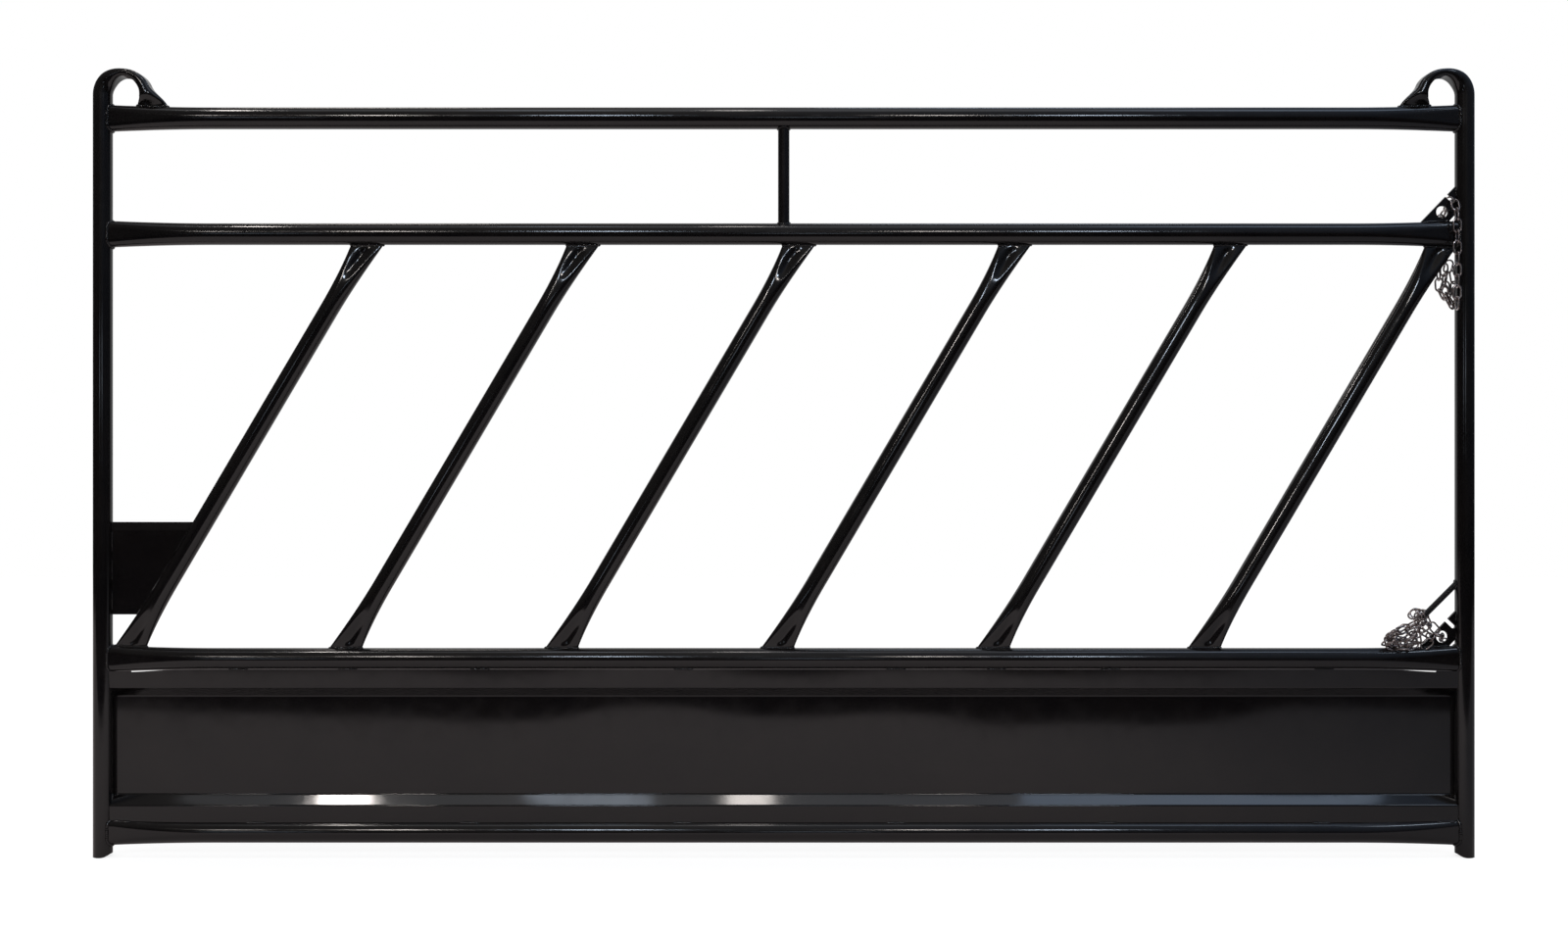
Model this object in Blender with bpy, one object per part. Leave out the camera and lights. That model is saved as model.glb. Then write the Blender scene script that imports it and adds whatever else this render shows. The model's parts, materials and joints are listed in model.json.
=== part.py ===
"""Slant-bar livestock feeder panel: a welded frame of round steel tube with a pressed sheet along its
foot, a guard plate, two latch plates, a chain peg and two loose chains.

The panel stands on the ground at z = 0. x runs along it with 0 half way, y = 0 is the plane of the tube
axes, and the front faces -y. Every length is in metres."""

import math

import bmesh
import bpy
from mathutils import Matrix, Vector
from mathutils.geometry import tessellate_polygon

# Overall sizes of the frame
PANEL_LENGTH = 3.048
BOTTOM_RAIL_Z = 0.0540
MIDDLE_RAIL_Z = 0.4360
NECK_RAIL_Z = 1.3733
TOP_RAIL_Z = 1.6290

# Round tube
UPRIGHT_DIAMETER = 0.0413
RAIL_DIAMETER = 0.0476
BAR_DIAMETER = 0.0413
SPACER_DIAMETER = 0.0254
TUBE_WALL = 0.00165
TAB_SLIT = 0.0008
WELD_GAP = 0.0003

# Pinched ends of the rails, which stand taller where they meet the uprights
RAIL_PINCH_RISE = 0.0052
RAIL_PINCH_LENGTH = 0.230

# Hoop at the top of each upright
HOOP_CENTRE_RISE = 0.0504
HOOP_RADIUS = 0.0485
HOOP_BEND = math.radians(158)
HOOP_COLLAPSES = (math.radians(25), math.radians(95))
HOOP_COLLAPSED_HALF = 0.0080
HOOP_LEAVING_HALF = 0.0115
HOOP_DEPTH_HALF = 0.0222

# Foot of each upright, cut away in a curve on its inner side
FOOT_CUT_RISE = 0.0085
FOOT_CUT_SHARE = 0.60
FOOT_CUT_CURVE = 3

# Slanted feed bars
BAR_LEAN = math.radians(30.5)
BAR_COUNT = 6
FIRST_BAR_FOOT_IN = 0.0390
LAST_BAR_HEAD_IN = 0.0302
LAST_BAR_CLOSER = 0.0108
BAR_FLARE_LENGTH = 0.170

# Guard plate between the left upright and the first bar
GUARD_BOTTOM_Z = 0.5338
GUARD_HEIGHT = 0.2041
GUARD_LIP = 0.018
GUARD_LIP_SET_BACK = 0.003
GUARD_THICKNESS = 0.003

# Pressed sheet between the middle and bottom rails
SHEET_THICKNESS = 0.0019
SHEET_FRONT_Y = -0.010
SHEET_RECESS = 0.022
SHEET_UPPER_FLANGE_DEPTH = 0.0625
SHEET_LOWER_FLANGE_DEPTH = 0.0600
SHEET_STEP_HEIGHT = 0.0205

# Latch plates
PLATE_LEG = 0.0762
PLATE_THICKNESS = 0.00635
PLATE_CORNER_CLIP = 0.014
PLATE_SLOT_WIDTH = 0.0088
PLATE_SLOT_DEPTH = 0.0245
PLATE_SLOT_FROM_TIP = 0.0282
PLATE_HOLE_DIAMETER = 0.0265
PLATE_HOLE_IN = 0.0300
PLATE_HOLE_UP = 0.0210

# Chain peg
PEG_DIAMETER = 0.0127
PEG_LENGTH = 0.1066
PEG_ROOT_Z = 0.5996
PEG_LEAN = math.radians(45)

# Chain
LINK_WIRE = 0.0042
LINK_OUTER_LENGTH = 0.0334
LINK_OUTER_WIDTH = 0.0206
LINK_GAP = 0.0006

# How the links hang. Each strand's tilts are in degrees to the rear, link by link from its top
HANG_ASIDE = 0.0035
HANG_OUT = 0.0092
TAIL_TILTS = (-28, -14, 0, 0, 0, 0, 0, 0, 0, 0)
REAR_TILTS = (48, 30, 10, 0, 0, 0, 0, 0, 0)
HOLE_LINK_ASIDE = 0.0034
HOLE_LINK_DROP = 0.0032
HOLE_LINK_ROLL = math.radians(24)
HOLE_HANG_ASIDE = -0.0018
HOLE_HANG_OUT = 0.0090
HOLE_HANG_BELOW = 0.0014
FIXED_TILTS = (40, 26, 8, 0, 0, 0, 0)
FIXED_LEAN = 3.3
BIGHT_DIP = 0.0064

# The lower chain: for each link, the way its length points and roughly the way its width points
LOWER_HOLE_LINK_DROP = 0.0015
LOWER_HOLE_LINK = (Vector((0.51, 0.815, -0.275)), Vector((0.36, 0.0, 0.93)))
LOWER_HOLE_HOLD = 0.0083
LOWER_CHAIN_SLACK = 0.0010
CORNER_STRAND = ((Vector((0.64, 0.66, -0.40)), Vector((0.74, -0.57, 0))),)
FRONT_STRAND = ((Vector((-0.70, -0.68, 0.26)), Vector((0.74, -0.57, 0))),)
PEG_LINK_FROM_TIP = 0.010
PEG_FRONT_STRAND = ((Vector((0, 0, -1)), Vector((1, 0, 0))),)
HEAP_STRAND = ((Vector((0, 0, -1)), Vector((1, 0, 0))),
               (Vector((-0.20, 0.30, -0.93)), Vector((0, 1, 0))),
               (Vector((-0.80, -0.30, -0.52)), Vector((1, 0, 0))),
               (Vector((-0.93, -0.30, -0.18)), Vector((0, 1, 0))),
               (Vector((-0.95, -0.15, -0.16)), Vector((0, 0.6, 1))),
               (Vector((-0.75, -0.62, 0.14)), Vector((0, 1, -0.8))))

# Facets round each kind of piece, and the stations of a pinched or flattened end as shares of its length
RAIL_PINCH_STATIONS = (0.0, 0.22, 0.46, 0.72, 1.0)
BAR_FLARE_STATIONS = (0.0, 0.20, 0.45, 1.0)
RAIL_SIDES = 20
UPRIGHT_SIDES = 20
BAR_SIDES = 16
SPACER_SIDES = 16
PEG_SIDES = 12
HOLE_SIDES = 20
SHEET_STEP_PARTS = 5
HOOP_STEPS = 10
HOOP_FOOT_STEPS = 4
SLOT_END_STEPS = 6
LINK_WIRE_SIDES = 6
LINK_BEND_STEPS = 4

# Colours, roughness and metallic value of the two finishes
BLACK_PAINT = ((0.012, 0.011, 0.012), 0.22, 0.0)
ZINC = ((0.46, 0.42, 0.40), 0.34, 1.0)

# Worked out from the sizes above
UPRIGHT_RADIUS = UPRIGHT_DIAMETER / 2
RAIL_RADIUS = RAIL_DIAMETER / 2
BAR_RADIUS = BAR_DIAMETER / 2
UPRIGHT_X = PANEL_LENGTH / 2 - UPRIGHT_RADIUS
CLEAR_X = UPRIGHT_X - UPRIGHT_RADIUS
BAR_MID_HEIGHT = (MIDDLE_RAIL_Z + NECK_RAIL_Z) / 2
BAR_RUN = (NECK_RAIL_Z - MIDDLE_RAIL_Z - RAIL_DIAMETER) * math.tan(BAR_LEAN)
FIRST_BAR_X = FIRST_BAR_FOOT_IN + BAR_RUN / 2 - CLEAR_X
LAST_BAR_X = CLEAR_X - LAST_BAR_HEAD_IN - BAR_RUN / 2
BAR_PITCH = (LAST_BAR_X + LAST_BAR_CLOSER - FIRST_BAR_X) / (BAR_COUNT - 1)
X_AXIS = Vector((1, 0, 0))
Y_AXIS = Vector((0, 1, 0))
BAR_DIRECTION = Vector((math.sin(BAR_LEAN), 0, math.cos(BAR_LEAN)))
LINK_CENTRE_LENGTH = LINK_OUTER_LENGTH - LINK_WIRE
LINK_BEND_RADIUS = (LINK_OUTER_WIDTH - LINK_WIRE) / 2


def clear_scene():
    for thing in list(bpy.data.objects):
        bpy.data.objects.remove(thing, do_unlink=True)


def make_finish(piece_name, finish):
    """A material of its own for a piece."""
    colour, roughness, metallic = finish
    material = bpy.data.materials.new(piece_name + "_finish")
    material.use_nodes = True
    shader = material.node_tree.nodes["Principled BSDF"]
    shader.inputs["Base Color"].default_value = (*colour, 1)
    shader.inputs["Roughness"].default_value = roughness
    shader.inputs["Metallic"].default_value = metallic
    material.diffuse_color = (*colour, 1)
    return material


def make_piece(name, mesh, finish, smooth_below=None):
    """Turns a bmesh into a named object with outward faces."""
    bmesh.ops.recalc_face_normals(mesh, faces=mesh.faces)
    if mesh.calc_volume(signed=True) < 0:
        bmesh.ops.reverse_faces(mesh, faces=mesh.faces)
    data = bpy.data.meshes.new(name)
    mesh.to_mesh(data)
    mesh.free()
    if smooth_below is not None:
        data.shade_smooth()
        data.set_sharp_from_angle(angle=smooth_below)
    piece = bpy.data.objects.new(name, data)
    data.materials.append(make_finish(name, finish))
    bpy.context.collection.objects.link(piece)
    return piece


def bridge(mesh, rings, closed=False):
    """Joins each ring of vertices to the next with quads."""
    followers = rings[1:] + rings[:1] if closed else rings[1:]
    for ring, following in zip(rings, followers):
        for i in range(len(ring)):
            j = (i + 1) % len(ring)
            mesh.faces.new((ring[i], ring[j], following[j], following[i]))


def add_ring(mesh, points):
    return [mesh.verts.new(point) for point in points]


def squeezed_half(half, radius):
    """The other half width of a round tube squeezed or spread to `half`, with its girth unchanged."""
    girth = 2 * math.pi * radius
    if half >= radius:
        return (girth - 4 * half) / (2 * math.pi - 4)
    return (girth - (2 * math.pi - 4) * half) / 4


def tab_half(radius):
    """Half width of a tube's end hammered flat, with a fine slit left between its two walls."""
    thickness_half = TUBE_WALL + TAB_SLIT / 2
    return (2 * math.pi * radius - (2 * math.pi - 4) * thickness_half) / 4


def oval(half_a, half_b, sides):
    """Points round two half circles joined by straight lines, evenly spaced from the tip on the a side."""
    if half_b > half_a:
        turned = oval(half_b, half_a, sides)
        shift = sides // 4
        return [(turned[(i - shift) % sides][1] * -1, turned[(i - shift) % sides][0])
                for i in range(sides)]
    straight = half_a - half_b
    quarter = straight + math.pi / 2 * half_b
    points = []
    for i in range(sides):
        turns, part = divmod(4 * i / sides, 1)
        along = part * quarter if turns % 2 == 0 else (1 - part) * quarter
        arc = min(along, math.pi / 2 * half_b)
        angle = arc / half_b
        a = straight + half_b * math.cos(angle) - (along - arc)
        b = half_b * math.sin(angle)
        points.append((a if turns in (0, 3) else -a, b if turns in (0, 1) else -b))
    return points


def station(centre, direction, half, radius, level=0):
    """A place along a tube of a given radius, squeezed there to `half` in the plane of the panel."""
    return centre, direction, half, squeezed_half(half, radius), level


def tube_ring(centre, direction, half, depth_half, level, sides, inset):
    """One ring of a tube, 2 * half wide in the plane of the panel and 2 * depth_half from front to back.

    The ring is square to the tube at level 0 and lies level at 1."""
    across = direction.cross(Y_AXIS).normalized()
    if level:
        across -= direction * (level * across.z / direction.z)
    outline = oval(half - inset, depth_half - inset, sides)
    return [centre + across * a + Y_AXIS * b for a, b in outline]


def make_tube(name, stations, sides, fit_start=None, fit_end=None, limit=None):
    """A tube through stations of (centre, direction, half width, half depth, level), with shaped ends."""
    mesh = bmesh.new()
    walls = []
    for inset in (0.0, TUBE_WALL):
        rings = [tube_ring(*place, sides, inset) for place in stations]
        if fit_start:
            rings[0] = [fit_start(point, -stations[0][1]) for point in rings[0]]
        if fit_end:
            rings[-1] = [fit_end(point, stations[-1][1]) for point in rings[-1]]
        if limit:
            rings = [[limit(point, inset) for point in ring] for ring in rings]
        walls.append([add_ring(mesh, ring) for ring in rings])
    outer, inner = walls
    bridge(mesh, outer)
    bridge(mesh, inner)
    bridge(mesh, [outer[0], inner[0]])
    bridge(mesh, [outer[-1], inner[-1]])
    return make_piece(name, mesh, BLACK_PAINT, smooth_below=math.radians(40))


def shaped_end(share, stations):
    """How far a tube's end is shaped, from 1 at its tip to 0, at a share of the shaped length.

    It follows a parabola at the stations and runs straight between them, as the facets do."""
    share = min(max(share, 0), 1)
    for near, far in zip(stations, stations[1:]):
        if share <= far:
            part = (share - near) / (far - near)
            return (1 - near) ** 2 * (1 - part) + (1 - far) ** 2 * part
    return 0


def rail_half(x):
    """Half height of a rail at x, which grows towards its pinched ends."""
    share = (CLEAR_X - abs(x)) / RAIL_PINCH_LENGTH
    return RAIL_RADIUS + RAIL_PINCH_RISE * shaped_end(share, RAIL_PINCH_STATIONS)


def rail_surface(x, y):
    """Height of a rail's surface above its axis at x and y."""
    half = rail_half(x)
    depth = squeezed_half(half, RAIL_RADIUS)
    return half - depth + math.sqrt(max(depth ** 2 - y ** 2, 0))


def onto_upright(point, direction):
    """Moves a point along its tube until it meets the upright ahead."""
    axis_x = math.copysign(UPRIGHT_X, direction.x)
    x, y = point.x - axis_x, point.y
    a = direction.x ** 2 + direction.y ** 2
    b = x * direction.x + y * direction.y
    c = x ** 2 + y ** 2 - (UPRIGHT_RADIUS + WELD_GAP) ** 2
    return point + direction * ((-b - math.sqrt(b ** 2 - a * c)) / a)


def onto_rail(rail_z, side):
    """A fit that moves a point along its tube to the top (side 1) or underside (side -1) of a rail."""
    def fit(point, direction):
        for _ in range(6):
            target = rail_z + side * (rail_surface(point.x, point.y) + WELD_GAP)
            point = point + direction * ((target - point.z) / direction.z)
        return point
    return fit


def rail_stations():
    """Places along x where a rail's section is drawn, from its left end to its right end."""
    places = [RAIL_PINCH_LENGTH * f - CLEAR_X for f in RAIL_PINCH_STATIONS]
    return places + [-x for x in reversed(places)]


def make_rail(name, z):
    """A rail with both ends pinched and coped round the uprights."""
    stations = [station(Vector((x, 0, z)), X_AXIS, rail_half(x), RAIL_RADIUS) for x in rail_stations()]
    return make_tube(name, stations, RAIL_SIDES, onto_upright, onto_upright)


def ease(t):
    return t * t * (3 - 2 * t)


def between(value, low, high):
    """How far a value is from low to high, eased, and held at 0 and 1 outside them."""
    return ease(min(max((value - low) / (high - low), 0), 1))


def hoop_section(angle):
    """Half width and half depth of the tube part way round its hoop, where its inner wall caves in."""
    half = UPRIGHT_RADIUS + (HOOP_COLLAPSED_HALF - UPRIGHT_RADIUS) * between(angle, *HOOP_COLLAPSES)
    half += (HOOP_LEAVING_HALF - HOOP_COLLAPSED_HALF) * between(angle, HOOP_COLLAPSES[1], HOOP_BEND)
    return half, min(squeezed_half(half, UPRIGHT_RADIUS), HOOP_DEPTH_HALF)


def cut_foot(point, direction):
    """Lifts a point of an upright's foot onto the curved cut, which leaves the outer side on the ground."""
    across = (UPRIGHT_X + UPRIGHT_RADIUS - abs(point.x)) / UPRIGHT_DIAMETER
    share = max(across - (1 - FOOT_CUT_SHARE), 0) / FOOT_CUT_SHARE
    return point - direction * (FOOT_CUT_RISE * share ** FOOT_CUT_CURVE)


def make_upright(name, side):
    """An upright whose top is bent over in a hoop and hammered flat where it meets the top rail."""
    up = Vector((0, 0, 1))
    inward = Vector((-side, 0, 0))
    foot = Vector((side * UPRIGHT_X, 0, 0))
    hoop_z = TOP_RAIL_Z + HOOP_CENTRE_RISE
    centre = Vector((side * (UPRIGHT_X - HOOP_RADIUS), 0, hoop_z))
    stations = [station(foot, up, UPRIGHT_RADIUS, UPRIGHT_RADIUS)]
    for step in range(HOOP_STEPS + 1):
        angle = HOOP_BEND * step / HOOP_STEPS
        place = centre - inward * HOOP_RADIUS * math.cos(angle) + up * HOOP_RADIUS * math.sin(angle)
        direction = inward * math.sin(angle) + up * math.cos(angle)
        stations.append((place, direction, *hoop_section(angle), 0))
    leaving, direction = stations[-1][:2]
    reach = (leaving.z - TOP_RAIL_Z - RAIL_RADIUS) / -direction.z
    for step in range(1, HOOP_FOOT_STEPS + 1):
        t = step / HOOP_FOOT_STEPS
        half = HOOP_LEAVING_HALF + (tab_half(UPRIGHT_RADIUS) - HOOP_LEAVING_HALF) * ease(t)
        depth_half = min(squeezed_half(half, UPRIGHT_RADIUS), HOOP_DEPTH_HALF)
        stations.append((leaving + direction * reach * t, direction, half, depth_half, t))
    return make_tube(name, stations, UPRIGHT_SIDES, cut_foot, onto_rail(TOP_RAIL_Z, 1))


def bar_axis(number, z):
    """Point at height z on the axis of a feed bar, numbered from 0 at the left."""
    x = FIRST_BAR_X + BAR_PITCH * number + (z - BAR_MID_HEIGHT) * math.tan(BAR_LEAN)
    if number == BAR_COUNT - 1:
        x -= LAST_BAR_CLOSER
    return Vector((x, 0, z))


def bar_half(from_end):
    """Half width of a feed bar at a distance along it from its end."""
    shaped = shaped_end(from_end / BAR_FLARE_LENGTH, BAR_FLARE_STATIONS)
    return BAR_RADIUS + (tab_half(BAR_RADIUS) - BAR_RADIUS) * shaped


def clear_of_right_upright(point, inset):
    """Keeps a wall of the last bar's tab off the right upright."""
    return Vector((min(point.x, CLEAR_X - WELD_GAP - inset), point.y, point.z))


def make_bar(number):
    """A slanted bar with both ends hammered flat and cut to the rails above and below."""
    low = bar_axis(number, MIDDLE_RAIL_Z + RAIL_RADIUS)
    high = bar_axis(number, NECK_RAIL_Z - RAIL_RADIUS)
    ends = [(BAR_FLARE_LENGTH * f, (1 - f) ** 2) for f in BAR_FLARE_STATIONS]
    stations = [station(low + BAR_DIRECTION * s, BAR_DIRECTION, bar_half(s), BAR_RADIUS, level)
                for s, level in ends]
    ends.reverse()
    stations += [station(high - BAR_DIRECTION * s, BAR_DIRECTION, bar_half(s), BAR_RADIUS, level)
                 for s, level in ends]
    return make_tube(f"slant_bar_{number + 1}", stations, BAR_SIDES,
                     onto_rail(MIDDLE_RAIL_Z, 1), onto_rail(NECK_RAIL_Z, -1), clear_of_right_upright)


def make_centre_spacer():
    """The short upright tube that holds the two upper rails apart half way along."""
    low = Vector((0, 0, NECK_RAIL_Z + RAIL_RADIUS))
    high = Vector((0, 0, TOP_RAIL_Z - RAIL_RADIUS))
    radius = SPACER_DIAMETER / 2
    stations = [station(place, Vector((0, 0, 1)), radius, radius) for place in (low, high)]
    return make_tube("centre_spacer", stations, SPACER_SIDES,
                     onto_rail(NECK_RAIL_Z, 1), onto_rail(TOP_RAIL_Z, -1))


def close_end(mesh, ring, folded):
    """Closes a loft's end: with one face, or across a folded sheet from each front point to the rear."""
    if not folded:
        bmesh.ops.triangulate(mesh, faces=[mesh.faces.new(ring)])
        return
    for i in range(len(ring) // 2 - 1):
        mesh.faces.new((ring[i], ring[i + 1], ring[-i - 2], ring[-i - 1]))


def make_loft(name, rings, finish, smooth_below=None, folded=False):
    """A solid through rings of points, closed at each end."""
    mesh = bmesh.new()
    rings = [add_ring(mesh, ring) for ring in rings]
    bridge(mesh, rings)
    close_end(mesh, rings[0], folded)
    close_end(mesh, rings[-1], folded)
    return make_piece(name, mesh, finish, smooth_below)


def first_bar_left_side(z):
    """x of the left side of the first bar at height z."""
    low = bar_axis(0, MIDDLE_RAIL_Z + RAIL_RADIUS)
    along = 0.0
    for _ in range(8):
        along = (z - low.z - bar_half(along) * math.sin(BAR_LEAN)) / math.cos(BAR_LEAN)
    return low.x + along * math.sin(BAR_LEAN) - bar_half(along) * math.cos(BAR_LEAN)


def make_guard_plate():
    """The plate that closes the corner under the first bar, its top lip bent back a little."""
    top = GUARD_BOTTOM_Z + GUARD_HEIGHT
    crease = top - GUARD_LIP
    rows = [(GUARD_BOTTOM_Z + (crease - GUARD_BOTTOM_Z) * i / 4, 0.0) for i in range(5)]
    rows.append((top, GUARD_LIP_SET_BACK))
    left = -CLEAR_X + WELD_GAP
    half = GUARD_THICKNESS / 2
    rings = []
    for z, back in rows:
        right = first_bar_left_side(z) - WELD_GAP
        rings.append([Vector((left, back - half, z)), Vector((right, back - half, z)),
                      Vector((right, back + half, z)), Vector((left, back + half, z))])
    return make_loft("guard_plate", rings, BLACK_PAINT)


def slope(first, last):
    """Points down a sloping step of the sheet, close enough together to follow an upright."""
    shares = [i / SHEET_STEP_PARTS for i in range(SHEET_STEP_PARTS + 1)]
    return [tuple(a + (b - a) * share for a, b in zip(first, last)) for share in shares]


def sheet_section(x):
    """Outline across the pressed sheet at x: its front from top to bottom, then its back going up."""
    front, back = SHEET_FRONT_Y, SHEET_FRONT_Y + SHEET_THICKNESS
    reach = max(rail_surface(x, back), rail_surface(x, front)) + WELD_GAP
    top, bottom = MIDDLE_RAIL_Z - reach, BOTTOM_RAIL_Z + reach
    upper_bend = MIDDLE_RAIL_Z - SHEET_UPPER_FLANGE_DEPTH
    lower_bend = BOTTOM_RAIL_Z + SHEET_LOWER_FLANGE_DEPTH
    step, recess = SHEET_STEP_HEIGHT, SHEET_RECESS
    shift = SHEET_THICKNESS * math.tan(math.atan2(step, recess) / 2)
    face = slope((front, upper_bend), (front + recess, upper_bend - step))
    face += slope((front + recess, lower_bend + step), (front, lower_bend))
    rear = slope((back, lower_bend - shift), (back + recess, lower_bend + step - shift))
    rear += slope((back + recess, upper_bend - step + shift), (back, upper_bend + shift))
    return [(front, top), *face, (front, bottom), (back, bottom), *rear, (back, top)]


def make_kick_panel():
    """The pressed sheet that closes the foot of the panel, its ends cut to the uprights."""
    places = rail_stations()
    rings = [[Vector((x, y, z)) for y, z in sheet_section(x)] for x in places]
    rings[0] = [onto_upright(point, Vector((-1, 0, 0))) for point in rings[0]]
    rings[-1] = [onto_upright(point, Vector((1, 0, 0))) for point in rings[-1]]
    return make_loft("kick_panel", rings, BLACK_PAINT, folded=True)


def plate_long_side(rail_z):
    """A latch plate's two outer corners, its slot's mouth and the direction from one corner to the other."""
    x = CLEAR_X - WELD_GAP
    base = rail_z + WELD_GAP
    tip = Vector((x, base + rail_half(x) + PLATE_LEG))
    toe = Vector((x - PLATE_LEG, base + rail_half(x - PLATE_LEG)))
    down = (toe - tip).normalized()
    return tip, toe, tip + down * PLATE_SLOT_FROM_TIP, down


def plate_outline(rail_z):
    """Outline of a latch plate in x and z, with its slot cut in from the long side."""
    x = CLEAR_X - WELD_GAP
    base = rail_z + WELD_GAP
    clipped_x = x - PLATE_CORNER_CLIP
    corner_top = base + rail_half(x) + PLATE_CORNER_CLIP
    tip, toe, mouth, down = plate_long_side(rail_z)
    inward = Vector((-down.y, down.x))
    half = PLATE_SLOT_WIDTH / 2
    floor = mouth + inward * (PLATE_SLOT_DEPTH - half)
    outline = [tip, mouth - down * half]
    for step in range(SLOT_END_STEPS + 1):
        angle = math.pi * step / SLOT_END_STEPS
        outline.append(floor - down * half * math.cos(angle) + inward * half * math.sin(angle))
    outline += [mouth + down * half, toe, Vector((clipped_x, base + rail_half(clipped_x))),
                Vector((x, corner_top))]
    return outline


def hole_outline(rail_z):
    """Points round a latch plate's hole in x and z."""
    centre = plate_hole(rail_z)
    radius = PLATE_HOLE_DIAMETER / 2
    angles = [2 * math.pi * i / HOLE_SIDES for i in range(HOLE_SIDES)]
    return [Vector((centre.x + radius * math.cos(angle), centre.z + radius * math.sin(angle)))
            for angle in angles]


def make_latch_plate(name, rail_z):
    """A flat gusset between a rail and the right upright, with a chain slot and a chain hole."""
    half = PLATE_THICKNESS / 2
    outlines = [plate_outline(rail_z), hole_outline(rail_z)]
    triangles = tessellate_polygon([[Vector((x, z, 0)) for x, z in outline] for outline in outlines])
    mesh = bmesh.new()
    front, rear = [[add_ring(mesh, [Vector((x, y, z)) for x, z in outline]) for outline in outlines]
                   for y in (-half, half)]
    for rings in zip(front, rear):
        bridge(mesh, rings)
    for edge, hole in (front, rear):
        points = edge + hole
        for triangle in triangles:
            mesh.faces.new([points[i] for i in triangle])
    return make_piece(name, mesh, BLACK_PAINT)


def make_chain_peg():
    """The round peg that the lower chain is laid over, welded to the right upright."""
    direction = Vector((math.sin(PEG_LEAN), 0, math.cos(PEG_LEAN)))
    root = Vector((CLEAR_X, 0, PEG_ROOT_Z))
    tip = root - direction * PEG_LENGTH
    radius = PEG_DIAMETER / 2
    rings = []
    for place in (tip, root):
        across = direction.cross(Y_AXIS)
        ring = [place + across * radius * math.cos(angle) + Y_AXIS * radius * math.sin(angle)
                for angle in (2 * math.pi * i / PEG_SIDES for i in range(PEG_SIDES))]
        rings.append(ring)
    rings[1] = [onto_upright(point, direction) for point in rings[1]]
    return make_loft("chain_peg", rings, BLACK_PAINT, smooth_below=math.radians(40))


def make_link_mesh():
    """One chain link, long axis along z and wide axis along x, as a mesh that all the links share."""
    half = LINK_CENTRE_LENGTH / 2 - LINK_BEND_RADIUS
    rings = []
    for end, first in ((1, 0), (-1, math.pi)):
        for step in range(LINK_BEND_STEPS + 1):
            angle = first + math.pi * step / LINK_BEND_STEPS
            out = Vector((math.cos(angle), 0, math.sin(angle)))
            middle = out * LINK_BEND_RADIUS + Vector((0, 0, end * half))
            spokes = [2 * math.pi * i / LINK_WIRE_SIDES for i in range(LINK_WIRE_SIDES)]
            rings.append([middle + (out * math.cos(a) + Y_AXIS * math.sin(a)) * LINK_WIRE / 2
                          for a in spokes])
    mesh = bmesh.new()
    bridge(mesh, [add_ring(mesh, ring) for ring in rings], closed=True)
    bmesh.ops.recalc_face_normals(mesh, faces=mesh.faces)
    data = bpy.data.meshes.new("chain_link")
    mesh.to_mesh(data)
    mesh.free()
    data.shade_smooth()
    data.materials.append(None)
    return data


def place_link(name, centre, along, across):
    """Places a link by its centre, the direction of its length and roughly that of its width."""
    along = along.normalized()
    depth = along.cross(across).normalized()
    piece = bpy.data.objects.new(name, LINK_MESH)
    turn = Matrix((depth.cross(along), depth, along)).transposed().to_4x4()
    piece.matrix_world = Matrix.Translation(centre) @ turn
    bpy.context.collection.objects.link(piece)
    piece.material_slots[0].link = "OBJECT"
    piece.material_slots[0].material = make_finish(name, ZINC)


def hanging(tilts, lean_right=0):
    """Ways and widths of links that hang down, each turned a quarter against the one before.

    The tilts to the rear and the lean to the right are in degrees."""
    lean = math.radians(lean_right)
    strand = []
    for count, tilt_back in enumerate(tilts):
        tilt = math.radians(tilt_back)
        way = Vector((math.sin(lean), math.sin(tilt) * math.cos(lean), -math.cos(tilt) * math.cos(lean)))
        strand.append((way, X_AXIS if count % 2 == 0 else Y_AXIS))
    return strand


def lay_strand(prefix, first_number, start, strand, slack=0.0):
    """Lays links end to end, given each link's way and width.

    `start` is the middle of the wire at the first link's near end. Returns the middle of the wire at
    the far end of the last link."""
    previous = None
    for number, (way, width) in enumerate(strand, first_number):
        way = way.normalized()
        if previous:
            start = start - (previous + way).normalized() * (LINK_WIRE + LINK_GAP + slack)
        place_link(f"{prefix}_{number:02d}", start + way * LINK_CENTRE_LENGTH / 2, way, width)
        start = start + way * LINK_CENTRE_LENGTH
        previous = way
    return start


def join_strands(name, one_end, other_end, width, dip=0.0):
    """Places the link that joins the ends of two strands, its first end dipped a little lower."""
    way = one_end - other_end - Vector((0, 0, dip))
    place_link(name, (one_end + other_end) / 2, way, width)


def plate_slot_seat(rail_z):
    """Centre of a link that lies through a latch plate's slot, and the direction down the slot."""
    _, _, mouth, down = plate_long_side(rail_z)
    inward = Vector((-down.y, down.x))
    seat = mouth + inward * (PLATE_SLOT_DEPTH - LINK_OUTER_WIDTH / 2 - WELD_GAP)
    return Vector((seat.x, 0, seat.y)), Vector((inward.x, 0, inward.y))


def plate_hole(rail_z):
    """Centre of a latch plate's hole."""
    x = CLEAR_X - PLATE_HOLE_IN
    return Vector((x, 0, rail_z + rail_half(x) + PLATE_HOLE_UP))


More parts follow.
